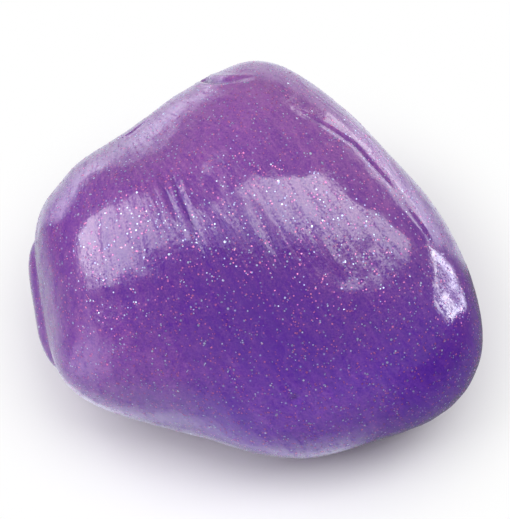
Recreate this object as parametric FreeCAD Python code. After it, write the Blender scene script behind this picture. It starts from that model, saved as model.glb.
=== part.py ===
import FreeCAD
import Part
import math
import os
from FreeCAD import Placement, Rotation, Vector

# A hand-kneaded lump of translucent silicone putty, full of fine glitter, resting on the flat that its own
# weight has pressed into its underside. Millimetres, Z up, origin at the middle of the resting face.
#
# The lump has one broad side. Its outline is drawn flat, across and up that side, and the putty swells out
# in front of the outline and behind it. The broad side then leans back, so that it faces up and forwards.

# The main mass
overall_width = 62.8        # left edge to right cheek
outline_height = 56.0       # chin to crown, along the broad side
front_bulge = 21.5          # outline plane to the front of the swell
back_bulge = 22.5           # outline plane to the back of the swell
back_lift = 6.0             # how far above the middle the back swells out most
lean_back = 60.0            # degrees from upright
resting_sag = 3.7           # how much of the underside is pressed flat
resting_edge_radius = 2.5   # rounding where the side turns under to the flat

# The fold: a flap of putty lapped behind the left edge and not yet kneaded in
fold_thickness = 7.0        # across, where it is fullest
fold_breadth = 11.0         # front to back
fold_overhang = 2.2         # how far it stands out past the edge in front of it
fold_setback = 5.5          # outline plane to the fold's middle line
fold_top = 6.0              # its two ends, up and down from the middle of the broad side
fold_bottom = -17.0

# Glitter: six-sided flakes cut from thin film, held in a layer under the skin
fine_flake = 0.2            # across flats
coarse_flake = 0.4
film_thickness = 0.05
flake_cover = 0.3           # least putty between a flake and the skin
flake_layer = 2.4           # depth of the layer
flake_count = 176
coarse_every = 4            # one flake in so many is coarse

# Fineness of the net that carries the skin, and of the fold's
stations_round = 24
steps_between = 54          # fine points of the outline from one station to the next
stations_through = 12
fold_stations = 10
fold_section_points = 8
golden_ratio = (1 + math.sqrt(5)) / 2

# Landmarks round the broad side, clockwise from the crown: across, up, and how squarely the side turns
# over there, from 2 for round to 3 for a marked shoulder. They are drawn for the nominal sizes given here,
# as the marks below are, and all of them stretch with the sizes above.
nominal_width = 62.8
nominal_height = 56.0
nominal_front = 21.5
nominal_back = 22.5
landmarks = {
    "crown": (0.0, 28.1, 2.1),
    "crown_slope": (6.2, 25.8, 2.2),
    "right_shoulder": (12.6, 20.9, 2.5),
    "right_slope": (19.6, 13.4, 2.7),
    "right_flank": (25.3, 6.7, 2.6),
    "right_corner": (28.7, 0.2, 2.3),
    "right_cheek": (31.4, -9.2, 2.2),
    "right_heel": (29.5, -17.6, 2.2),
    "lower_right": (24.7, -22.4, 2.2),
    "chin_right": (14.8, -26.0, 2.2),
    "chin": (4.4, -28.1, 2.1),
    "chin_left": (-4.2, -26.1, 2.1),
    "lower_waist": (-13.0, -24.1, 2.1),
    "lower_left": (-19.6, -21.9, 2.2),
    "left_heel": (-27.6, -16.5, 2.3),
    "left_edge": (-29.5, -6.5, 2.3),
    "left_flank": (-31.1, 4.6, 2.4),
    "left_shoulder": (-28.6, 10.6, 2.6),
    "saddle_left": (-21.8, 15.9, 2.4),
    "saddle": (-14.2, 21.4, 2.2),
    "notch": (-8.6, 24.8, 2.2),
    "crown_left": (-4.4, 27.3, 2.1),
}

# Where fingers pressed the lump or pushed it out: across, up and forward of the place, how far round it
# the mark reaches, and its height, which is negative for a dent.
marks = {
    "saddle_hollow": (-15.0, 16.5, 11.0, 8.0, -1.4),
    "left_shoulder_swell": (-21.0, 7.0, 13.0, 9.0, 0.8),
    "right_shoulder_upper": (13.0, 15.0, 13.0, 7.0, 0.9),
    "right_shoulder_lower": (22.0, 3.0, 13.0, 7.0, 0.9),
    "cheek_swell": (22.0, -13.0, 11.0, 9.0, 0.7),
    "lower_waist_hollow": (-12.0, -21.0, 8.0, 7.0, -0.9),
    "chin_swell": (4.0, -22.0, 9.0, 7.0, 0.5),
    "back_press": (6.0, 4.0, -22.0, 11.0, -1.8),
    "back_left_swell": (-16.0, -4.0, -16.0, 9.0, 1.0),
    "back_right_hollow": (22.0, -6.0, -14.0, 8.0, -1.2),
}


def stretched(across, up, forward):
    """A place drawn at the nominal sizes, on a lump of the sizes set above."""
    bulge = front_bulge / nominal_front if forward > 0 else back_bulge / nominal_back
    return Vector(across * overall_width / nominal_width, up * outline_height / nominal_height, forward * bulge)


def tightened(points, closed):
    """Control points of a curve that passes through the points given, round a ring or from end to end."""
    poles = list(points)
    last = len(poles) - 1
    inner = range(0, last + 1) if closed else range(1, last)
    for _ in range(6):
        moved = list(poles)
        for i in inner:
            after = poles[(i + 1) % len(poles)]
            moved[i] = poles[i] + points[i] - (poles[i - 1] + poles[i] * 4 + after) * (1 / 6)
        poles = moved
    return poles


def skin_over(first_tip, rings, last_tip):
    """A smooth surface that runs from one tip, over the rings, to the other tip."""
    count = len(rings[0])
    rings = [tightened(ring, closed=True) for ring in rings]
    columns = [tightened([ring[i] for ring in rings], closed=False) for i in range(count)]
    columns = [[first_tip, *column, last_tip] for column in columns]
    spans = len(rings) - 1
    surface = Part.BSplineSurface()
    surface.buildFromPolesMultsKnots(columns, [1] * (count + 1), [4, *[1] * (spans - 1), 4],
        [float(i) for i in range(count + 1)], [float(i) for i in range(spans + 1)], True, False, 3, 3)
    return surface


def solid_inside(surface):
    """The solid that a tip-to-tip surface closes, with a face for each quarter round of each half."""
    round_start, round_end, start, end = surface.bounds()
    quarter = (round_end - round_start) / 4
    half = (end - start) / 2
    faces = []
    for i in range(4):
        for j in range(2):
            patch = surface.copy()
            patch.segment(round_start + i * quarter, round_start + (i + 1) * quarter,
                          start + j * half, start + (j + 1) * half)
            faces.append(patch.toShape())
    shell = Part.makeShell(faces)
    shell.sewShape()
    return Part.Solid(shell)


def outline():
    """A closed curve round the broad side. Its third coordinate holds how squarely the side turns over."""
    drawn = Part.BSplineCurve()
    drawn.interpolate(Points=[Vector(*place) for place in landmarks.values()], PeriodicFlag=True)
    fine = drawn.discretize(Number=steps_between * stations_round + 1)
    left, right = min(p.x for p in fine), max(p.x for p in fine)
    low, high = min(p.y for p in fine), max(p.y for p in fine)
    across = overall_width / (right - left)
    up = outline_height / (high - low)
    return [Vector((p.x - (left + right) / 2) * across, (p.y - (low + high) / 2) * up, p.z) for p in fine]


def turned_over(angle, squareness):
    """How far out and how far forward a section reaches, as shares, at an angle from straight ahead."""
    sine, cosine = abs(math.sin(angle)), abs(math.cos(angle))
    reach = (sine ** squareness + cosine ** squareness) ** (-1 / squareness)
    return reach * sine, reach * math.cos(angle)


def marked(point):
    """The point, pushed in or out by the marks that reach it."""
    away = Vector(point.x / overall_width, point.y / outline_height, point.z / (front_bulge + back_bulge))
    height = 0.0
    for across, up, forward, reach, rise in marks.values():
        distance = (point - stretched(across, up, forward)).Length
        height += rise * math.exp(-((distance / reach) ** 2))
    return point + away.normalize() * height


def main_skin(edge):
    """The skin of the main mass, with the broad side square to Z."""
    stations = edge[:-1:steps_between]
    step = math.pi / stations_through
    rings = []
    for k in range(1, stations_through):
        bulge = front_bulge if 2 * k <= stations_through else back_bulge
        ring = []
        for place in stations:
            out, forward = turned_over(k * step, place.z)
            full = turned_over(step, place.z)[1]
            lift = back_lift * (1 - out) if forward < 0 else 0.0
            ring.append(marked(Vector(place.x * out, place.y * out + lift, bulge * forward / full)))
        rings.append(ring)
    front, back = (sum(ring, Vector()) * (1 / len(ring)) for ring in (rings[0], rings[-1]))
    return skin_over(front, rings, back)


def fold(edge):
    """The flap lapped behind the left edge: a flattened roll that follows the outline and tapers to its ends."""
    border = sorted((p for p in edge if p.x < 0 and fold_bottom < p.y < fold_top), key=lambda p: p.y)
    inset = fold_thickness / 2 - fold_overhang
    spine = [Vector(p.x + inset, p.y, -fold_setback) for p in border[::len(border) // fold_stations]]
    turns = [2 * math.pi * k / fold_section_points for k in range(fold_section_points)]
    rings = []
    for i in range(1, len(spine) - 1):
        ahead = (spine[i + 1] - spine[i - 1]).normalize()
        out = Vector(-ahead.y, ahead.x, 0)
        fullness = math.sqrt(math.sin(math.pi * i / (len(spine) - 1)))
        rings.append([spine[i] + out * (fold_thickness / 2 * fullness * math.cos(t))
                      + Vector(0, 0, fold_breadth / 2 * fullness * math.sin(t)) for t in turns])
    return solid_inside(skin_over(spine[0], rings, spine[-1]))


def resting_place(lump):
    """The placement that leans the broad side back and brings the flat to Z = 0."""
    lean = Rotation(Vector(1, 0, 0), 90 - lean_back)
    leaned = lump.copy()
    leaned.Placement = Placement(Vector(), lean)
    lowest = leaned.optimalBoundingBox(False).ZMin
    return Placement(Vector(0, 0, -lowest - resting_sag), lean)


def middle_of(putty):
    """The point of the resting face under the middle of the putty's extents."""
    across, along, _ = zip(*putty.tessellate(film_thickness)[0])
    return Vector((min(across) + max(across)) / 2, (min(along) + max(along)) / 2, 0)


def pressed_flat(lump):
    """The lump with its underside pressed flat, and the border of the flat rounded."""
    reach = overall_width + outline_height
    under = Part.makeBox(2 * reach, 2 * reach, reach, Vector(-reach, -reach, -reach))
    flat = lump.cut(under)
    resting_face = min(flat.Faces, key=lambda face: face.CenterOfMass.z)
    return flat.makeFillet(resting_edge_radius, resting_face.Edges)


def flake(size, place, tilt):
    """One six-sided flake of film about a place."""
    corner = size / math.sqrt(3)
    turns = [math.pi * k / 3 for k in range(7)]
    hexagon = Part.makePolygon([Vector(corner * math.cos(t), corner * math.sin(t), -film_thickness / 2)
                                for t in turns])
    film = Part.Face(hexagon).extrude(Vector(0, 0, film_thickness))
    film.Placement = Placement(place, tilt)
    return film


def glitter(skin, rest, putty):
    """The flakes by colour and size. Each lies at its own tilt, in a layer under the skin and over the flat."""
    groups = {"silver_fine_flakes": [], "pink_fine_flakes": [], "silver_coarse_flakes": [], "pink_coarse_flakes": []}
    spans = skin.bounds()[3]
    for i in range(flake_count):
        spread = (i + 0.5) / flake_count
        around = stations_round * (i / golden_ratio % 1)
        along = spans * math.acos(1 - 2 * spread) / math.pi
        place = skin.value(around, along)
        outward = skin.normal(around, along)
        if outward.dot(place) < 0:
            outward = outward * -1
        coarse = i % coarse_every == 0
        size = coarse_flake if coarse else fine_flake
        depth = flake_cover + size + flake_layer * (i * golden_ratio % 1)
        place = rest.multVec(place - outward * depth)
        place.z = max(place.z, depth)
        covered = putty.Shells[0].distToShape(Part.Vertex(place))[0] > flake_cover + size / 2
        if covered and putty.isInside(place, film_thickness, False):
            colour = "silver" if i % (2 * coarse_every) < coarse_every else "pink"
            tilt = Rotation(360 * (i / 3 % 1), 180 * spread, 0)
            groups[f"{colour}_{'coarse' if coarse else 'fine'}_flakes"].append(flake(size, place, tilt))
    return groups


if __name__ == "__main__":
    os.makedirs("parts", exist_ok=True)
    edge = outline()
    skin = main_skin(edge)
    lump = solid_inside(skin)
    rest = resting_place(lump)
    lump.Placement = rest
    flap = fold(edge)
    flap.Placement = rest
    putty = pressed_flat(lump).fuse(flap)
    groups = glitter(skin, rest, putty)
    pockets = [film.Shells[0].reversed() for group in groups.values() for film in group]
    nodes = {name: Part.Compound(group) for name, group in groups.items()}
    nodes["putty_mass"] = Part.Solid(Part.Compound([putty.Shells[0], *pockets]))
    centre = middle_of(putty)
    for name, shape in nodes.items():
        shape.translate(centre * -1)
        shape.exportStep(f"parts/{name}.step")
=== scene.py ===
import math
import bpy
import numpy as np
from mathutils import Matrix, Vector, noise
from mathutils.bvhtree import BVHTree


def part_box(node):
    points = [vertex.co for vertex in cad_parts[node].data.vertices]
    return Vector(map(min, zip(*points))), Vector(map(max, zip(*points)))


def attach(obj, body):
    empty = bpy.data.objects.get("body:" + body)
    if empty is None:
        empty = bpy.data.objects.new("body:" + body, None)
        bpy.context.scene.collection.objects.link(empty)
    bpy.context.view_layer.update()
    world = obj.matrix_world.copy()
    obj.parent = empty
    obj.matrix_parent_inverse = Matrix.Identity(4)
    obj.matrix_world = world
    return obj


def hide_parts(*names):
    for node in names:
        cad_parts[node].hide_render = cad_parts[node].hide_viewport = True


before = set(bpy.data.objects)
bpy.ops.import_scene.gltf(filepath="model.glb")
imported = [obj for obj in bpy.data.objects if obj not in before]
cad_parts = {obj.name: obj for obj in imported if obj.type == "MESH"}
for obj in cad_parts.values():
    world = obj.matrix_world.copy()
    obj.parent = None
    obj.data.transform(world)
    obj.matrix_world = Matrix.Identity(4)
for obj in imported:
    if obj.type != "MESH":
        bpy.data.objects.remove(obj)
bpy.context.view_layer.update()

mm = 0.001

# The lump's own directions: along its broad side to the right, up the broad side, and out of it
lean = math.radians(60)  # how far the broad side leans back from upright
across = Vector((1, 0, 0))
upward = Vector((0, math.sin(lean), math.cos(lean)))
forward = Vector((0, -math.cos(lean), math.sin(lean)))
axes = np.array([across, upward, forward])

low, high = (Vector(corner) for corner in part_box("putty_mass"))
middleShare = Vector((0.509, 0.4959, 0.4539))  # the broad side's middle, as a share of the lump's box
middle = Vector(low[i] + (high[i] - low[i]) * middleShare[i] for i in range(3))


def place(right, up, out=0.0):
    # a point given in millimetres along the lump's own directions
    return middle + (across * right + upward * up + forward * out) * mm


camera = {
    "distance": 0.6,  # from the lump's middle, in metres
    "frameHeight": 0.07302,  # the height that the view takes in at the lump, in metres
    "sensor": 36.0,  # mm
    "clip": (0.01, 20.0),
}


def makeCamera():
    data = bpy.data.cameras.new("camera")
    data.sensor_width = camera["sensor"]
    data.lens = camera["sensor"] * camera["distance"] / camera["frameHeight"]
    data.clip_start, data.clip_end = camera["clip"]
    eye = bpy.data.objects.new("camera", data)
    bpy.context.collection.objects.link(eye)
    target = Vector((0.0, middle.y, middle.z))
    eye.location = target + forward * camera["distance"]
    eye.rotation_euler = (-forward).to_track_quat("-Z", "Y").to_euler()
    bpy.context.scene.camera = eye


makeCamera()
print("camera set")

# Putty: a fine even net laid over the lump, then sculpted, with every size in mm. A spot or an area is given as
# its middle to the right and up the broad side, its reach to the right and up, and a value of its own
putty = {
    "coarseLevels": 4,  # how many times a cube's faces are divided for the coarse net that is stroked level
    "netLevels": 3,  # and how many times more for the real net: 3 gives openings of 0.3 mm
    "castFrom": {"broadSide": 60.0, "allRound": 80.0},  # how far out the lines start that find the skin
    "smoothing": {"rounds": 30, "pull": 0.6, "push": -0.61},  # a pull, then a slightly larger push, in turn
    # areas stroked level, over dents up to about 20 mm long, with the number of strokes
    "levelled": {"leftShoulder": (-17.0, -1.0, 17.0, 19.0, 100)},
    # the share of an area over which that fades out, how far behind the middle it ends, and a stroke's strength
    "levelling": {"edge": 0.5, "backLimit": -4.0, "strength": 0.45},
    # soft swells and hollows, with their height
    "swells": {
        "leftShine": (-21.5, -2.5, 6.5, 4.0, 0.30),
        "rightCheek": (25.6, -4.6, 2.0, 4.2, -0.22),
        "saddle": (-12.0, 23.0, 3.4, 3.0, 0.25),
        "leftRim": (-28.6, 10.4, 3.0, 3.6, -0.60),
    },
    # soft noise all over: its height, the width of its lumps, and its seed
    "unevenness": {"swell": (0.22, 9.0, 3.1), "dimple": (0.05, 2.6, 8.7)},
    # where the putty lapped over itself: points along the broad side, then width, depth and lip
    "grooves": {
        "crownNotch": ([(-9.4, 26.6), (-8.2, 25.7), (-7.0, 25.0), (-5.0, 24.8), (-1.6, 25.1)],
                       0.55, 0.60, 0.20),
        "saddleLine": ([(-19.5, 16.8), (-18.0, 17.6), (-16.6, 18.7), (-14.6, 20.1)], 0.30, 0.22, 0.10),
        "mainPleat": ([(4.9, 20.7), (9.2, 18.3), (12.9, 15.9), (14.7, 14.0), (17.2, 11.2), (18.7, 9.2)],
                      0.34, 0.34, 0.02),
        "outerPleat": ([(4.4, 25.4), (10.8, 20.4), (14.6, 17.0), (17.0, 14.3), (19.4, 10.8)],
                       0.24, 0.12, 0.06),
        "rimPleat": ([(8.0, 24.6), (13.4, 20.2), (17.0, 16.6), (19.8, 12.8), (21.6, 9.0)],
                     0.24, 0.10, 0.05),
        "lowerPleat": ([(19.4, 8.0), (21.0, 6.0), (22.8, 3.6), (23.8, 1.8)], 0.34, 0.07, 0.03),
        "frontDrag": ([(-13.8, 12.4), (-13.0, 10.3), (-11.7, 7.0), (-10.3, 3.5)], 0.45, 0.28, 0.06),
        "frontDragTwo": ([(-11.9, 11.8), (-11.2, 9.8), (-8.8, 4.6), (-6.7, -0.1)], 0.45, 0.28, 0.06),
    },
    # steps along a groove, its lip's distance and width in groove widths, and how it runs out at its ends
    "grooveForm": {"steps": 70, "lipAway": 2.0, "lipWidth": 1.1, "ends": (0.02, 0.98), "runOut": 0.7},
    # burst bubbles: right, up, radius and depth
    "pits": {"saddlePit": (-17.4, 18.2, 0.28, 0.5), "frontBurst": (4.9, -19.1, 0.55, 0.5)},
    # how the skin was dragged: in lines that fan out from one place, and that run straight on the right half
    "dragLines": {
        "fan": (-23.4, 28.6),
        "fanRadius": 30.0,  # how far out in the fan the distance across its lines is true
        "slope": 54,  # of the straight lines, in degrees
        "shift": 24.0,  # keeps the straight lines' places near those of the fan
        "straightFrom": (-8.0, 6.0),  # the fan gives way to them between these two places to the right
    },
    # ridges along those lines: height, spacing, length and seed
    "wrinkles": (0.022, 1.1, 7.0, 0.0),
    "tearRidges": (0.08, 1.5, 5.0, 5.0),
    "wrinklePatches": {"width": 6.0, "seed": 21.0, "middle": 0.55, "least": 0.15},  # the wrinkles' strength
    # where dragging tore the skin, with how much, and the most that it adds up to
    "tornMost": 2,
    "tornSpots": {
        "leftShineRightEnd": (-10.8, 5.0, 2.6, 5.0, 0.65),
        "leftShine": (-15.2, 6.0, 1.8, 4.0, 0.35),
        "betweenShines": (-6.0, 2.6, 3.4, 3.0, 0.75),
        "frontLeft": (-1.0, 2.2, 4.0, 3.0, 1.0),
        "front": (4.5, 2.4, 4.0, 3.0, 0.9),
        "frontRight": (10.2, 1.6, 4.0, 3.6, 1.0),
        "farRight": (15.6, 0.0, 4.0, 3.0, 0.7),
        "rightCheek": (26.0, -5.0, 3.0, 4.0, 0.35),
        "belowLeftShine": (-20.0, -2.5, 7.0, 2.0, 0.5),
        "aboveLeftShine": (-18.0, 9.0, 8.0, 3.0, 0.35),
        "aboveFrontLeft": (-3.0, 6.4, 3.4, 2.6, 0.3),
    },
    # where the putty is paler (above 0) or deeper (below 0) than its middle tone: partly its own uneven tone,
    # partly painted light and shade, paler at the crown and right shoulder, deeper in the thick middle and on
    # the right cheek
    "middleTone": 0.5,
    "tones": {
        "crown": (0.0, 27.0, 24.0, 10.0, 0.38),
        "belowSaddle": (-16.0, 13.0, 11.0, 8.0, 0.16),
        "rightShoulder": (16.0, 15.0, 9.0, 9.0, 0.26),
        "leftHeel": (-24.0, -12.0, 9.0, 8.0, 0.10),
        "underFrontShine": (-3.0, 3.0, 10.0, 6.0, -0.20),
        "middle": (3.0, -8.0, 12.0, 8.0, -0.38),
        "rightCheek": (27.0, -14.0, 9.0, 9.0, -0.28),
        "chin": (12.0, -19.0, 8.0, 5.0, 0.14),
        "leftOfMiddle": (-12.0, -6.0, 12.0, 8.0, -0.22),
        "aboveChin": (6.0, -14.0, 9.0, 5.0, -0.14),
        "belowMiddle": (-5.0, -19.0, 8.0, 5.0, -0.04),
        "aboveLeftHeel": (-16.0, -16.0, 10.0, 4.0, 0.20),
    },
    "toneCloud": {"strength": 0.06, "width": 7.0, "seed": 33.0},
    # painted shade in the grooves: this much darker tone for each mm of a groove's depth
    "paintedCreaseShade": -0.9,  # for each mm of a groove's depth
    # where bluish reflected light is painted, mostly on the lower side, the chin and the right cheek
    "blueReflectionSpots": {
        "underside": (0.0, -24.0, 30.0, 11.0, 0.9),
        "rightCheek": (24.0, -12.0, 10.0, 12.0, 0.45),
        "chin": (16.0, -20.0, 9.0, 7.0, 0.45),
    },
    "spotFade": (-2.0, 2.0),  # how far out from the middle every spot is half gone, and how softly it goes
}


def divided(mesh, points, levels, kind):
    # a copy of the mesh with the points given, each face divided into four as many times as levels says
    holder = bpy.data.objects.new("net", mesh.copy())
    writePoints(holder.data, points)
    bpy.context.collection.objects.link(holder)
    divide = holder.modifiers.new("divide", "SUBSURF")
    divide.subdivision_type = kind
    divide.levels = levels
    graph = bpy.context.evaluated_depsgraph_get()
    made = bpy.data.meshes.new_from_object(holder.evaluated_get(graph))
    bpy.data.objects.remove(holder)
    return made


def readPoints(mesh):
    points = np.empty(len(mesh.vertices) * 3)
    mesh.vertices.foreach_get("co", points)
    return points.reshape(-1, 3)


def readNormals(mesh):
    mesh.update()
    normals = np.empty(len(mesh.vertices) * 3)
    mesh.vertices.foreach_get("normal", normals)
    return normals.reshape(-1, 3)


def writePoints(mesh, points):
    mesh.vertices.foreach_set("co", points.ravel())
    mesh.update()


def neighbours(mesh):
    pairs = np.empty(len(mesh.edges) * 2, dtype=np.int64)
    mesh.edges.foreach_get("vertices", pairs)
    return pairs.reshape(-1, 2)


def averaged(values, pairs, count):
    # for each point, the mean of its neighbours' values
    total = np.empty_like(values)
    for axis in range(3):
        total[:, axis] = np.bincount(pairs[:, 0], values[pairs[:, 1], axis], len(values))
        total[:, axis] += np.bincount(pairs[:, 1], values[pairs[:, 0], axis], len(values))
    return total / count


def smoothed(points, pairs, rounds, pull, push):
    count = np.bincount(pairs.ravel(), minlength=len(points))[:, None]
    for turn in range(rounds):
        strength = pull if turn % 2 == 0 else push
        points = points + (averaged(points, pairs, count) - points) * strength
    return points


def own(points):
    # the points along the lump's own directions, in millimetres
    return (points - np.array(middle)) @ axes.T / mm


def raised(points, normals, heights):
    # the points moved out along the skin's normals, by heights in mm
    return points + normals * (heights * mm)[:, None]


def eased(share):
    return share * share * (3 - 2 * share)


def noiseAt(places):
    return np.array([noise.noise(Vector(p)) for p in places])


def unevenness(points, width, seed):
    # soft noise from -1 to 1 with lumps about as wide as width, in mm
    return noiseAt(points / (width * mm) + seed)


def ridges(dragged, spacing, length, seed):
    # the same, drawn out along the drag lines
    return noiseAt(dragged / np.array([spacing, length, length]) + seed)


def dragFrame(local):
    # across and along the drag lines, which fan out from the upper left and run straight down the right half
    lines = putty["dragLines"]
    right, up, out = local.T
    fanX, fanY = right - lines["fan"][0], up - lines["fan"][1]
    fanAcross = lines["fanRadius"] * np.arctan2(fanX, -fanY)
    fanAlong = np.hypot(fanX, fanY)
    slope = math.radians(lines["slope"])
    straightAcross = right * math.sin(slope) + up * math.cos(slope) + lines["shift"]
    straightAlong = right * math.cos(slope) - up * math.sin(slope) + lines["shift"]
    start, end = lines["straightFrom"]
    share = eased(np.clip((right - start) / (end - start), 0, 1))
    return np.stack([fanAcross * (1 - share) + straightAcross * share,
                     fanAlong * (1 - share) + straightAlong * share, out], axis=1)


def softSpots(local, spots, base=0.0):
    # a value that swells and fades round given spots on the broad side
    fadeFrom, fadeOver = putty["spotFade"]
    value = np.full(len(local), base)
    front = 1 / (1 + np.exp(-(local[:, 2] - fadeFrom) / fadeOver))
    for right, up, reachRight, reachUp, strength in spots.values():
        away = ((local[:, 0] - right) / reachRight) ** 2 + ((local[:, 1] - up) / reachUp) ** 2
        value += strength * front * np.exp(-away)
    return value


def tornShare(points):
    return np.clip(softSpots(own(points), putty["tornSpots"]), 0, putty["tornMost"])


def splineThrough(points, count):
    # a smooth line through given points
    points = np.array(points, dtype=float)
    padded = np.vstack([2 * points[0] - points[1], points, 2 * points[-1] - points[-2]])
    line = []
    for t in np.linspace(0, len(points) - 1, count):
        i = min(int(t), len(points) - 2)
        u = t - i
        a, b, c, d = padded[i:i + 4]
        bend = (2 * a - 5 * b + 4 * c - d) * u * u
        twist = (3 * b - a - 3 * c + d) * u ** 3
        line.append(0.5 * (2 * b + (c - a) * u + bend + twist))
    return np.array(line)


def droppedOn(tree, right, up):
    # where a line square to the broad side first meets the skin
    hit = tree.ray_cast(place(right, up, putty["castFrom"]["broadSide"]), -forward)[0]
    if hit is None:
        hit = tree.find_nearest(place(right, up))[0]
    return np.array(hit)


def castOn(skin, directions):
    # where lines towards the lump's middle first meet its skin
    points = np.empty_like(directions)
    for i, direction in enumerate(directions):
        outward = Vector(direction)
        points[i] = skin.ray_cast(middle + outward * (putty["castFrom"]["allRound"] * mm), -outward)[0]
    return points


def spread(points):
    # directions from the middle, as even as those of a divided cube can be
    points = np.tan(points * math.pi / 4)
    return points / np.linalg.norm(points, axis=1)[:, None]


def treeOf(points, polygons):
    return BVHTree.FromPolygons([Vector(p) for p in points], [tuple(p.vertices) for p in polygons])


def cutGroove(points, normals, tree, line, width, depth, lip):
    # the points with the groove cut in, and how deep each lies in it
    form = putty["grooveForm"]
    spine = np.array([droppedOn(tree, right, up) for right, up in splineThrough(line, form["steps"])])
    near = np.full(len(points), np.inf)
    along = np.zeros(len(points))
    for i, spot in enumerate(spine):
        gap = np.linalg.norm(points - spot, axis=1) / mm
        closer = gap < near
        near[closer] = gap[closer]
        along[closer] = i / (len(spine) - 1)
    fade = np.sin(math.pi * np.clip(along, *form["ends"])) ** form["runOut"]
    lipShape = np.exp(-(((near - form["lipAway"] * width) / (form["lipWidth"] * width)) ** 2))
    hollow = np.exp(-((near / width) ** 2))
    height = lip * lipShape - depth * hollow
    return raised(points, normals, height * fade), depth * fade * hollow


def pressPit(points, normals, tree, right, up, radius, depth):
    gap = np.linalg.norm(points - droppedOn(tree, right, up), axis=1) / mm
    return raised(points, normals, -depth * np.exp(-((gap / radius) ** 2)))


def levelArea(points, pairs, right, up, reachRight, reachUp, strokes):
    # strokes out the dents of an area without flattening its whole swell
    levelling = putty["levelling"]
    count = np.bincount(pairs.ravel(), minlength=len(points))[:, None]
    local = own(points)
    away = np.hypot((local[:, 0] - right) / reachRight, (local[:, 1] - up) / reachUp)
    share = np.clip((1 - away) / levelling["edge"], 0, 1) * (local[:, 2] > levelling["backLimit"])
    share = eased(share)[:, None]
    for stroke in range(strokes):
        pull = averaged(points, pairs, count) - points
        pull = averaged(pull, pairs, count) - pull
        points = points - levelling["strength"] * share * pull
    return points


def layNet(source):
    # a divided cube cast on the lump, and moved as the coarse one is where that is stroked level
    skin = treeOf([source.matrix_world @ v.co for v in source.data.vertices], source.data.polygons)
    bpy.ops.mesh.primitive_cube_add(size=2)
    cube = bpy.context.object
    coarse = divided(cube.data, readPoints(cube.data), putty["coarseLevels"], "SIMPLE")
    bpy.data.objects.remove(cube)
    mesh = divided(coarse, readPoints(coarse), putty["netLevels"], "SIMPLE")
    before = castOn(skin, spread(readPoints(coarse)))
    after = before
    for area in putty["levelled"].values():
        after = levelArea(after, neighbours(coarse), *area)
    points = castOn(skin, spread(readPoints(mesh)))
    points = smoothed(points, neighbours(mesh), **putty["smoothing"])
    shift = readPoints(divided(coarse, after - before, putty["netLevels"], "CATMULL_CLARK"))
    print("stroked level by up to", round(float(np.linalg.norm(shift, axis=1).max()) / mm, 2), "mm")
    points = points + shift
    writePoints(mesh, points)
    print("putty laid over the lump,", len(points), "points")
    return mesh, points


def sculptSkin(mesh, points):
    normals = readNormals(mesh)
    points = raised(points, normals, softSpots(own(points), putty["swells"]))
    for height, width, seed in putty["unevenness"].values():
        points = raised(points, normals, unevenness(points, width, seed) * height)
    writePoints(mesh, points)

    normals = readNormals(mesh)
    tree = treeOf(points, mesh.polygons)
    creased = np.zeros(len(points))
    for groove in putty["grooves"].values():
        points, crease = cutGroove(points, normals, tree, *groove)
        creased = np.maximum(creased, crease)
    for pit in putty["pits"].values():
        points = pressPit(points, normals, tree, *pit)

    dragged = dragFrame(own(points))
    height, *run = putty["wrinkles"]
    patches = putty["wrinklePatches"]
    cover = unevenness(points, patches["width"], patches["seed"]) + patches["middle"]
    cover = np.clip(cover, patches["least"], 1.0)
    points = raised(points, normals, ridges(dragged, *run) * cover * height)
    height, *run = putty["tearRidges"]
    points = raised(points, normals, ridges(dragged, *run) * tornShare(points) * height)
    points[:, 2] = np.maximum(points[:, 2], 0.0)
    writePoints(mesh, points)
    return points, dragged, creased


def writeMasks(mesh, points, dragged, creased):
    # what the material reads at each point: the drag lines' own directions, tone with painted light and shade,
    # painted bluish reflection and tearing
    drag = mesh.attributes.new("drag", "FLOAT_VECTOR", "POINT")
    drag.data.foreach_set("vector", dragged.astype(np.float32).ravel())
    local = own(points)
    cloud = putty["toneCloud"]
    # the putty's tone with painted light and shade laid into it
    toneAndPaintedLight = softSpots(local, putty["tones"], putty["middleTone"])
    toneAndPaintedLight = toneAndPaintedLight + cloud["strength"] * unevenness(points, cloud["width"], cloud["seed"])
    # painted shade, darker along the grooves
    toneAndPaintedLight = toneAndPaintedLight + putty["paintedCreaseShade"] * creased
    masks = {"toneAndPaintedLight": toneAndPaintedLight, "paintedBlueReflection": softSpots(local, putty["blueReflectionSpots"]), "torn": tornShare(points)}
    for name, values in masks.items():
        kept = mesh.attributes.new(name, "FLOAT", "POINT")
        kept.data.foreach_set("value", values.astype(np.float32))


def makePutty():
    mesh, points = layNet(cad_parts["putty_mass"])
    points, dragged, creased = sculptSkin(mesh, points)
    writeMasks(mesh, points, dragged, creased)
    mesh.shade_smooth()
    lump = bpy.data.objects.new("kneadedPutty", mesh)
    bpy.context.collection.objects.link(lump)
    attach(lump, "root")
    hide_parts("putty_mass")
    return lump


lump = makePutty()
print("putty sculpted")


def newMaterial(name, constants):
    # a material whose shader has the constants given, and its node tree and shader
    material = bpy.data.materials.new(name)
    material.use_nodes = True
    tree = material.node_tree
    shader = tree.nodes["Principled BSDF"]
    for socket, value in constants.items():
        shader.inputs[socket].default_value = value
    return material, tree, shader


def node(tree, kind, feeds=(), **settings):
    # a node with its settings, and with the outputs in feeds linked to its sockets
    made = tree.nodes.new(kind)
    for name, value in settings.items():
        if hasattr(made, name):
            setattr(made, name, value)
        else:
            made.inputs[name.replace("_", " ")].default_value = value
    for socket, output in dict(feeds).items():
        tree.links.new(output, made.inputs[socket])
    return made


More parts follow.
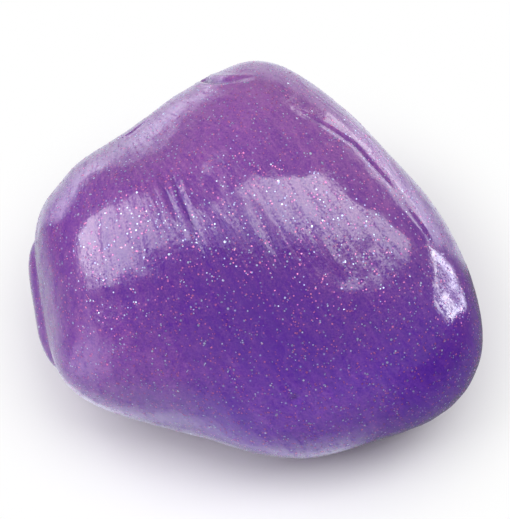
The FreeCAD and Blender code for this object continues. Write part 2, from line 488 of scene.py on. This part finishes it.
def calculated(tree, operation, first, second=None):
    # first and second are outputs or plain numbers
    made = node(tree, "ShaderNodeMath", operation=operation)
    for socket, value in zip(made.inputs, (first, second)):
        if isinstance(value, float):
            socket.default_value = value
        elif value is not None:
            tree.links.new(value, socket)
    return made.outputs["Value"]


def mapped(tree, value, first, last):
    # 0 to 1 turned into first to last
    return node(tree, "ShaderNodeMapRange", {"Value": value}, To_Min=first, To_Max=last).outputs["Result"]


def faded(tree, value, start, end, first=0.0, last=1.0):
    # first up to start, then softly over to last at end
    made = node(tree, "ShaderNodeMapRange", {"Value": value}, interpolation_type="SMOOTHSTEP",
                From_Min=start, From_Max=end, To_Min=first, To_Max=last)
    return made.outputs["Result"]


def ramp(tree, value, stops):
    # stops: place along the ramp, and its colour as linear red, green and blue
    made = node(tree, "ShaderNodeValToRGB", {"Fac": value})
    elements = made.color_ramp.elements
    while len(elements) < len(stops):
        elements.new(0.5)
    for element, (spot, colour) in zip(elements, stops):
        element.position = spot
        element.color = (*colour, 1)
    return made.outputs["Color"]


def mixColour(tree, share, colour, other, blend="MIX"):
    # the colour, turned by share into the other one
    made = node(tree, "ShaderNodeMix", {"Factor": share, 6: colour}, data_type="RGBA", blend_type=blend)
    made.inputs[7].default_value = (*other, 1)
    return made.outputs[2]


def noisy(tree, position, **settings):
    return node(tree, "ShaderNodeTexNoise", {"Vector": position}, **settings).outputs["Fac"]


def stored(tree, name, output="Fac"):
    return node(tree, "ShaderNodeAttribute", attribute_name=name).outputs[output]


def newGroup(name, inputs, output):
    # a group with its inputs, each a vector or a float, and one float output
    group = bpy.data.node_groups.new(name, "ShaderNodeTree")
    for socket, kind in inputs.items():
        group.interface.new_socket(socket, in_out="INPUT", socket_type=kind)
    group.interface.new_socket(output, in_out="OUTPUT", socket_type="NodeSocketFloat")
    given, result = group.nodes.new("NodeGroupInput"), group.nodes.new("NodeGroupOutput")
    return group, given.outputs, result.inputs[output]


def placed(tree, group, feeds, **settings):
    # a group put in a tree: its feeds linked, its other inputs set
    made = tree.nodes.new("ShaderNodeGroup")
    made.node_tree = group
    for name, value in settings.items():
        made.inputs[name].default_value = value
    for name, output in feeds.items():
        tree.links.new(output, made.inputs[name])
    return made.outputs[0]


def makeStreakGroup():
    # streaks that follow the drag lines: so many per mm across them and along them
    inputs = {"Drag": "NodeSocketVector", "Across": "NodeSocketFloat", "Along": "NodeSocketFloat",
              "Detail": "NodeSocketFloat"}
    group, given, height = newGroup("dragStreaks", inputs, "Height")
    counts = {"X": given["Across"], "Y": given["Along"], "Z": given["Along"]}
    scale = node(group, "ShaderNodeCombineXYZ", counts).outputs["Vector"]
    stretched = node(group, "ShaderNodeVectorMath", {0: given["Drag"], 1: scale}, operation="MULTIPLY")
    feeds = {"Vector": stretched.outputs["Vector"], "Detail": given["Detail"]}
    streaks = node(group, "ShaderNodeTexNoise", feeds, Scale=1.0, Roughness=0.6)
    group.links.new(streaks.outputs["Fac"], height)
    return group


def makeSunkenGroup():
    # flakes that lie deeper in the putty, seen as soft dots; Size is a share of their spacing
    inputs = {"Place": "NodeSocketVector", "Spacing": "NodeSocketFloat", "Size": "NodeSocketFloat",
              "Share": "NodeSocketFloat"}
    group, given, dots = newGroup("sunkenGlitter", inputs, "Dots")
    perMetre = calculated(group, "DIVIDE", 1.0, given["Spacing"])
    cells = node(group, "ShaderNodeTexVoronoi", {"Vector": given["Place"], "Scale": perMetre}).outputs
    dot = node(group, "ShaderNodeMapRange", {"Value": cells["Distance"], "From Max": given["Size"]},
               interpolation_type="SMOOTHSTEP", To_Min=1.0, To_Max=0.0).outputs["Result"]
    chance = node(group, "ShaderNodeSeparateColor", {"Color": cells["Color"]}).outputs
    chosen = calculated(group, "LESS_THAN", chance["Red"], given["Share"])
    strength = calculated(group, "MULTIPLY", dot, chosen)
    group.links.new(calculated(group, "MULTIPLY", strength, chance["Green"]), dots)
    return group


puttyFinish = {
    "tones": [
        (0.00, (0.094, 0.018, 0.262)),
        (0.22, (0.122, 0.027, 0.268)),
        (0.40, (0.150, 0.038, 0.280)),
        (0.55, (0.184, 0.053, 0.292)),
        (0.72, (0.226, 0.070, 0.312)),
        (1.00, (0.290, 0.105, 0.350)),
    ],
    # the tint of the painted bluish reflection
    "blueReflectionTint": (0.90, 0.80, 1.42),
    # patterns along the drag lines: how many per mm across them and along them
    "streaks": {
        "drawn": {"Across": 0.55, "Along": 0.05, "Detail": 3.0},
        "mottle": {"Across": 1.5, "Along": 0.55, "Detail": 4.0},
        "tear": {"Across": 1.5, "Along": 0.22, "Detail": 4.0},
        "pull": {"Across": 0.55, "Along": 0.12, "Detail": 2.0},
        "wrinkle": {"Across": 0.9, "Along": 0.10, "Detail": 3.0},
        "smear": {"Across": 1.3, "Along": 0.20, "Detail": 4.0},
    },
    # patterns without a direction, with Scale per metre
    "grains": {
        "speckle": {"Scale": 3600.0, "Detail": 2.0, "Roughness": 0.7},
        "crumple": {"Scale": 1300.0, "Detail": 3.0, "Roughness": 0.6},
        "orangePeel": {"Scale": 850.0, "Detail": 3.0, "Roughness": 0.6},
        "grain": {"Scale": 2600.0, "Detail": 2.0, "Roughness": 0.5},
    },
    "toneShifts": {"drawn": 0.22, "mottle": 0.45, "speckle": 0.65},  # how far each moves the tone
    # thin pale swirls of air and colour worked into the putty, in patches
    "wisps": {
        "colour": (0.38, 0.20, 0.50),
        "swirl": {"Scale": 420.0, "Detail": 2.0, "Roughness": 0.5, "Distortion": 0.8},
        "lineEdge": (0.006, 0.022),  # how near the swirl's middle value the line is full, and where it ends
        "patches": {"Scale": 130.0, "Detail": 1.0},
        "patchEdge": (0.52, 0.66),
        "strength": 0.10,
    },
    # glitter too deep to show as flakes
    "sunken": {
        "pink": {"colour": (0.56, 0.15, 0.36), "shift": (0.0, 0.0, 0.0),
                 "dots": {"Spacing": 0.0009, "Size": 0.22, "Share": 0.8}},
        "pale": {"colour": (0.42, 0.50, 0.70), "shift": (0.013, 0.021, 0.017),
                 "dots": {"Spacing": 0.0011, "Size": 0.19, "Share": 0.7}},
    },
    # depth of each pattern's relief in mm: the torn ones show only where the skin is torn
    "tornRelief": {"pull": 0.35, "tear": 0.28, "crumple": 0.18},
    "relief": {"wrinkle": 0.035, "orangePeel": 0.060, "grain": 0.020},
    "wetEdge": (0.82, 0.97),  # smear and speckle added up: dry below, wet above
    "wet": (0.0, 0.90),  # how wet the dry and the wet places are
    "tornWetness": -0.13,  # added to that sum where the skin is torn
    "roughness": (0.06, 0.13),
    "constants": {
        "IOR": 1.45,
        "Specular IOR Level": 0.50,
        "Coat Roughness": 0.11,
        "Coat IOR": 1.6,
        "Subsurface Weight": 0.35,
        "Subsurface Radius": (0.9, 0.35, 1.0),
        "Subsurface Scale": 1.2 * mm,
    },
}


def wispMask(tree, position):
    wisps = puttyFinish["wisps"]
    swirl = noisy(tree, position, **wisps["swirl"])
    offset = calculated(tree, "SUBTRACT", swirl, 0.5)
    near = calculated(tree, "ABSOLUTE", offset)
    line = faded(tree, near, *wisps["lineEdge"], 1.0, 0.0)
    patches = noisy(tree, position, **wisps["patches"])
    where = faded(tree, patches, *wisps["patchEdge"], 0.0, wisps["strength"])
    return calculated(tree, "MULTIPLY", line, where)


def puttyColour(tree, position, patterns, sunkenGroup):
    # the placed tones, partly painted light and shade, with streaks and mottling, then painted bluish
    # reflection, wisps and sunken glitter
    shade = stored(tree, "toneAndPaintedLight")
    for name, reach in puttyFinish["toneShifts"].items():
        shade = calculated(tree, "ADD", shade, mapped(tree, patterns[name], -reach, reach))
    colour = ramp(tree, shade, puttyFinish["tones"])
    # painted bluish reflection on the lower side
    colour = mixColour(tree, stored(tree, "paintedBlueReflection"), colour, puttyFinish["blueReflectionTint"], "MULTIPLY")
    colour = mixColour(tree, wispMask(tree, position), colour, puttyFinish["wisps"]["colour"])
    for kind in puttyFinish["sunken"].values():
        shifted = node(tree, "ShaderNodeVectorMath", {0: position}, operation="ADD")
        shifted.inputs[1].default_value = kind["shift"]
        dots = placed(tree, sunkenGroup, {"Place": shifted.outputs["Vector"]}, **kind["dots"])
        colour = mixColour(tree, dots, colour, kind["colour"])
    return colour


def puttyRelief(tree, patterns, torn):
    # deep where the skin is torn, soft wrinkles and fine grain everywhere
    heights = []
    for name, depth in puttyFinish["tornRelief"].items():
        heights.append((calculated(tree, "MULTIPLY", patterns[name], torn), depth))
    for name, depth in puttyFinish["relief"].items():
        heights.append((patterns[name], depth))
    below = {}
    for height, depth in heights:
        bump = node(tree, "ShaderNodeBump", {"Height": height, **below}, Strength=1.0, Distance=depth * mm)
        below = {"Normal": bump.outputs["Normal"]}
    return below["Normal"]


def puttyWetness(tree, patterns, torn):
    # wet in smears along the drag and in fine spots, drier where torn
    wetness = calculated(tree, "ADD", patterns["smear"], patterns["speckle"])
    lost = calculated(tree, "MULTIPLY", torn, puttyFinish["tornWetness"])
    return faded(tree, calculated(tree, "ADD", wetness, lost), *puttyFinish["wetEdge"], *puttyFinish["wet"])


def puttyMaterial(streakGroup, sunkenGroup):
    material, tree, shader = newMaterial("translucentPurplePutty", puttyFinish["constants"])
    position = node(tree, "ShaderNodeNewGeometry").outputs["Position"]
    drag = stored(tree, "drag", "Vector")
    torn = stored(tree, "torn")
    patterns = {}
    for name, settings in puttyFinish["streaks"].items():
        patterns[name] = placed(tree, streakGroup, {"Drag": drag}, **settings)
    for name, settings in puttyFinish["grains"].items():
        patterns[name] = noisy(tree, position, **settings)
    tree.links.new(puttyColour(tree, position, patterns, sunkenGroup), shader.inputs["Base Color"])
    tree.links.new(puttyRelief(tree, patterns, torn), shader.inputs["Normal"])
    tree.links.new(puttyWetness(tree, patterns, torn), shader.inputs["Coat Weight"])
    tree.links.new(mapped(tree, patterns["mottle"], *puttyFinish["roughness"]), shader.inputs["Roughness"])
    return material


lump.data.materials.append(puttyMaterial(makeStreakGroup(), makeSunkenGroup()))
print("putty finished")

# Glitter: six-sided flakes lying in the skin, each kind with its count and its width in mm
glitter = {
    "silver_fine_flakes": {
        "name": "silverFineGlitter", "slot": "silver_film", "count": 4200, "across": (0.16, 0.25)},
    "silver_coarse_flakes": {
        "name": "silverCoarseGlitter", "slot": "silver_film", "count": 520, "across": (0.27, 0.38)},
    "pink_fine_flakes": {
        "name": "pinkFineGlitter", "slot": "pink_film", "count": 6600, "across": (0.16, 0.25)},
    "pink_coarse_flakes": {
        "name": "pinkCoarseGlitter", "slot": "pink_film", "count": 520, "across": (0.25, 0.36)},
}
flake = {
    "sides": 6,
    "thick": 0.02,  # mm
    "tilt": 0.09,  # how far it leans out of the skin, as a share
    "lift": (0.001, 0.004),  # how far its middle stands out at least, and how much more at most, in mm
    "clearOfTable": 0.4,  # none lies lower than this, in mm
    "dullness": 1.6,  # above 1, more flakes are dull than bright
    "firstSeed": 40,
}
filmFinish = {
    "silver_film": {"light": (0.66, 0.74, 0.90), "dark": (0.28, 0.27, 0.54)},
    "pink_film": {"light": (0.80, 0.24, 0.48), "dark": (0.38, 0.09, 0.34)},
}
filmConstants = {"Metallic": 0.6, "Roughness": 0.3}


def filmMaterial(slot):
    film = filmFinish[slot]
    material, tree, shader = newMaterial(slot.replace("_film", "FilmFlakes"), filmConstants)
    colour = ramp(tree, stored(tree, "spark"), [(0.0, film["dark"]), (1.0, film["light"])])
    tree.links.new(colour, shader.inputs["Base Color"])
    return material


def flakeCorners(centre, facing, half, turn):
    side = facing.orthogonal().normalized()
    other = facing.cross(side)
    thick = flake["thick"] * mm
    corners = []
    for layer in (-1, 1):
        for k in range(flake["sides"]):
            angle = turn + k * math.tau / flake["sides"]
            rim = side * math.cos(angle) + other * math.sin(angle)
            corners.append(centre + rim * half + facing * (layer * thick / 2))
    return corners


def flakeFaces(start):
    # underside, top and edges
    sides = flake["sides"]
    top = start + sides
    faces = [[top - 1 - k for k in range(sides)], [top + k for k in range(sides)]]
    for k in range(sides):
        after = (k + 1) % sides
        faces.append([start + k, start + after, top + after, top + k])
    return faces


def makeGlitter(kind, material, seed):
    draw = np.random.default_rng(seed)
    source = lump.data
    count = kind["count"]
    points, normals = readPoints(source), readNormals(source)
    areas = np.empty(len(source.polygons))
    source.polygons.foreach_get("area", areas)
    faces = draw.choice(len(areas), size=count, p=areas / areas.sum())
    leastLift, moreLift = flake["lift"]
    verts, polys, sparks = [], [], []
    for face in faces:
        corners = list(source.polygons[face].vertices)
        weights = draw.dirichlet([1.0] * len(corners))
        spot = Vector(weights @ points[corners])
        outward = Vector(weights @ normals[corners]).normalized()
        if spot.z < flake["clearOfTable"] * mm:
            continue
        facing = (outward + Vector(draw.normal(0.0, flake["tilt"], 3))).normalized()
        half = draw.uniform(*kind["across"]) / 2 * mm
        lift = (leastLift + moreLift * draw.random()) * mm
        turn = draw.uniform(0, math.pi)
        polys.extend(flakeFaces(len(verts)))
        made = flakeCorners(spot + outward * lift, facing, half, turn)
        verts.extend(made)
        sparks.extend([draw.random() ** flake["dullness"]] * len(made))
    mesh = bpy.data.meshes.new(kind["name"])
    mesh.from_pydata(verts, [], polys)
    attribute = mesh.attributes.new("spark", "FLOAT", "POINT")
    attribute.data.foreach_set("value", sparks)
    mesh.materials.append(material)
    flakes = bpy.data.objects.new(kind["name"], mesh)
    bpy.context.collection.objects.link(flakes)
    return flakes


films = {slot: filmMaterial(slot) for slot in filmFinish}
for seed, (nodeName, kind) in enumerate(glitter.items(), flake["firstSeed"]):
    flakes = makeGlitter(kind, films[kind["slot"]], seed)
    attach(flakes, "root")
    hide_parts(nodeName)
print("glitter strewn")

# Floor and light
studio = {
    "floorSize": 4.0,
    "floorColour": (0.86, 0.86, 0.87),
    "floorRoughness": 0.9,
    "whiteFrom": (0.026, 0.047),  # how far from the lump's middle the floor turns to plain white, in metres
    "roomLight": 0.27,
    # the colour of the table's painted glow in gloss
    "paintedGlowColour": (0.86, 0.86, 1.0),  # of the table in gloss
    "lightsAway": 0.35,  # from the lump's middle to each card and panel, in metres
    # glowing cards of free outline: each corner's turn to the right and rise above the line square to the
    # broad side, in degrees, and how bright it looks there
    "cards": {
        "leftCard": [(-81, 5, 5.0), (-71, 17, 4.4), (-54, 34, 3.5), (-44, 50, 3.0), (-35, 46, 3.0),
                     (-20, 26, 3.0), (-15, 4, 2.8), (-38, -7, 3.2), (-64, -16, 4.2), (-75, -13, 4.8)],
        "topCard": [(-13, 31, 3.4), (4, 32, 4.2), (20, 32, 4.6), (38, 31, 4.3), (52, 24, 3.9),
                    (67, 17, 3.5), (61, 9, 3.2), (41, 7, 3.6), (26, 2, 4.2), (13, 3, 4.1),
                    (4, 9, 3.8), (-5, 15, 3.6), (-14, 24, 3.3)],
    },
    # panels that stand up: turn from straight right, rise, width and height in degrees, and brightness
    "panels": {"backPanel": (47, 11.5, 40, 27, 2.2), "rightPanel": (10, 1, 11, 6, 6.0)},
}
# The table's painted glow, which shows only in gloss and stands in for reflected light and shadow: where each
# change starts and ends, then what it goes from and to, if not 0 to 1
paintedTableShine = {
    # how far to the right (X), as a share of straight right, with left below 0
    "X": {
        "backLeft": (-0.37, -0.45),
        "backRight": (0.42, 0.66),
        "front": (0.40, 0.72, 1.0, 0.0),
        "frontLeft": (-0.60, -0.80),
        "beside": (-0.5, 0.5, 0.60, 0.20),
        "hot": (0.5, 0.7),
    },
    # how far to the back (Y), as a share of straight back, with the front below 0
    "Y": {
        "behind": (0.24, 0.40),
        "front": (0.15, -0.10),
        "frontLeft": (-0.25, -0.42),
        "hotFrom": (0.15, 0.19),
        "hotTo": (0.25, 0.21),
    },
    # how far from the lump's middle, in metres
    "away": {
        "behind": (0.05, 0.19, 0.80, 2.2),
        "backLeft": (0.19, 0.30, 1.0, 0.1),
        "front": (0.026, 0.048, 0.90, 0.34),
        "underneath": (0.0235, 0.029, 0.5, 1.0),
        "frontLeft": (0.035, 0.07, 0.1, 1.0),
        "beside": (0.045, 0.09, 1.0, 0.25),
        "hot": (0.07, 0.10, 0.0, 8.5),
    },
    "straightBehind": 0.9,  # the even glow there
}


def paintedTableGlow(tree, position, away):
    # painted light and shade that the table shows only in gloss: an even glow straight behind the lump, a
    # stronger one far off to both sides of it, bright close in front and to the front left, dark to the front
    # right and right at the lump's foot as painted shadow, and a hot patch by the right panel that paints a
    # highlight on the lump
    turned = node(tree, "ShaderNodeVectorMath", {0: position}, operation="NORMALIZE").outputs["Vector"]
    parts = node(tree, "ShaderNodeSeparateXYZ", {"Vector": turned}).outputs
    along = {"X": parts["X"], "Y": parts["Y"], "away": away}

    def change(way, name):
        return faded(tree, along[way], *paintedTableShine[way][name])

    def product(first, *others):
        for other in others:
            first = calculated(tree, "MULTIPLY", first, other)
        return first

    def larger(first, second):
        return calculated(tree, "MAXIMUM", first, second)

    backLeft = product(change("X", "backLeft"), change("away", "backLeft"))
    sides = larger(backLeft, change("X", "backRight"))
    level = node(tree, "ShaderNodeMix", {"Factor": sides, 3: change("away", "behind")}, data_type="FLOAT")
    level.inputs[2].default_value = paintedTableShine["straightBehind"]
    behind = product(level.outputs[0], change("Y", "behind"))
    frontLeft = product(change("Y", "frontLeft"), change("X", "frontLeft"), change("away", "frontLeft"))
    close = calculated(tree, "ADD", change("away", "front"), frontLeft)
    front = product(close, change("Y", "front"), change("X", "front"), change("away", "underneath"))
    beside = product(change("X", "beside"), change("away", "beside"))
    hot = product(change("Y", "hotFrom"), change("Y", "hotTo"), change("X", "hot"), change("away", "hot"))
    return calculated(tree, "ADD", larger(larger(behind, front), beside), hot)


def makeFloor():
    bpy.ops.mesh.primitive_plane_add(size=studio["floorSize"], location=(0, 0, 0))
    floor = bpy.context.object
    floor.name = "floor"
    constants = {"Base Color": (*studio["floorColour"], 1), "Roughness": studio["floorRoughness"]}
    material, tree, shader = newMaterial("paleTable", constants)
    position = node(tree, "ShaderNodeNewGeometry").outputs["Position"]
    away = node(tree, "ShaderNodeVectorMath", {0: position}, operation="LENGTH").outputs["Value"]
    ray = node(tree, "ShaderNodeLightPath").outputs
    white = node(tree, "ShaderNodeEmission", Strength=1.0, Color=(1, 1, 1, 1)).outputs["Emission"]
    seen = calculated(tree, "MULTIPLY", faded(tree, away, *studio["whiteFrom"]), ray["Is Camera Ray"])
    plain = node(tree, "ShaderNodeMixShader", {"Fac": seen, 1: shader.outputs["BSDF"], 2: white})
    # the painted glow that only glossy rays see on the table: painted reflected light and shadow
    glow = node(tree, "ShaderNodeEmission", {"Strength": paintedTableGlow(tree, position, away)},
                Color=(*studio["paintedGlowColour"], 1))
    feeds = {"Fac": ray["Is Glossy Ray"], 1: plain.outputs["Shader"], 2: glow.outputs["Emission"]}
    both = node(tree, "ShaderNodeMixShader", feeds)
    tree.links.new(both.outputs["Shader"], tree.nodes["Material Output"].inputs["Surface"])
    floor.data.materials.append(material)


def makeWorld():
    world = bpy.data.worlds.new("studio")
    bpy.context.scene.world = world
    world.use_nodes = True
    tree = world.node_tree
    ray = node(tree, "ShaderNodeLightPath").outputs
    light = mapped(tree, ray["Is Camera Ray"], studio["roomLight"], 1.0)
    tree.links.new(light, tree.nodes["Background"].inputs["Color"])


def aimed(turn, rise, ahead, aside, over):
    # the direction turned from ahead towards aside, and raised towards over, in degrees
    turn, rise = math.radians(turn), math.radians(rise)
    level = ahead * math.cos(rise) * math.cos(turn) + aside * math.cos(rise) * math.sin(turn)
    return level + over * math.sin(rise)


def standPanel(name, turn, rise, width, height, radiance):
    away = studio["lightsAway"]
    over = Vector((0, 0, 1))
    direction = aimed(turn, rise, Vector((1, 0, 0)), Vector((0, 1, 0)), over)
    data = bpy.data.lights.new(name, "AREA")
    data.shape = "RECTANGLE"
    data.size = 2 * away * math.tan(math.radians(width / 2))
    data.size_y = 2 * away * math.tan(math.radians(height / 2))
    data.energy = radiance * math.pi * data.size * data.size_y
    lamp = bpy.data.objects.new(name, data)
    bpy.context.collection.objects.link(lamp)
    lamp.location = middle + direction * away
    side = over.cross(direction).normalized()
    lamp.rotation_euler = Matrix((side, direction.cross(side), direction)).transposed().to_euler()
    lamp.visible_camera = False


def hangCard(name, corners):
    rim = [middle + aimed(turn, rise, forward, across, upward) * studio["lightsAway"]
           for turn, rise, bright in corners]
    centre = sum(rim, Vector()) / len(rim)
    mesh = bpy.data.meshes.new(name)
    mesh.from_pydata([centre] + rim, [], [(0, 1 + i, 1 + (i + 1) % len(rim)) for i in range(len(rim))])
    strengths = [bright for turn, rise, bright in corners]
    glow = mesh.attributes.new("glow", "FLOAT", "POINT")
    glow.data.foreach_set("value", [sum(strengths) / len(strengths)] + strengths)
    card = bpy.data.objects.new(name, mesh)
    bpy.context.collection.objects.link(card)
    card.visible_camera = False
    card.visible_shadow = False
    material = bpy.data.materials.new(name)
    material.use_nodes = True
    tree = material.node_tree
    tree.nodes.remove(tree.nodes["Principled BSDF"])
    shine = node(tree, "ShaderNodeEmission", {"Strength": stored(tree, "glow")}).outputs["Emission"]
    tree.links.new(shine, tree.nodes["Material Output"].inputs["Surface"])
    mesh.materials.append(material)


makeFloor()
makeWorld()
for name, corners in studio["cards"].items():
    hangCard(name, corners)
for name, panel in studio["panels"].items():
    standPanel(name, *panel)
print("studio lit")

scene = bpy.context.scene
scene.view_settings.view_transform = "Standard"
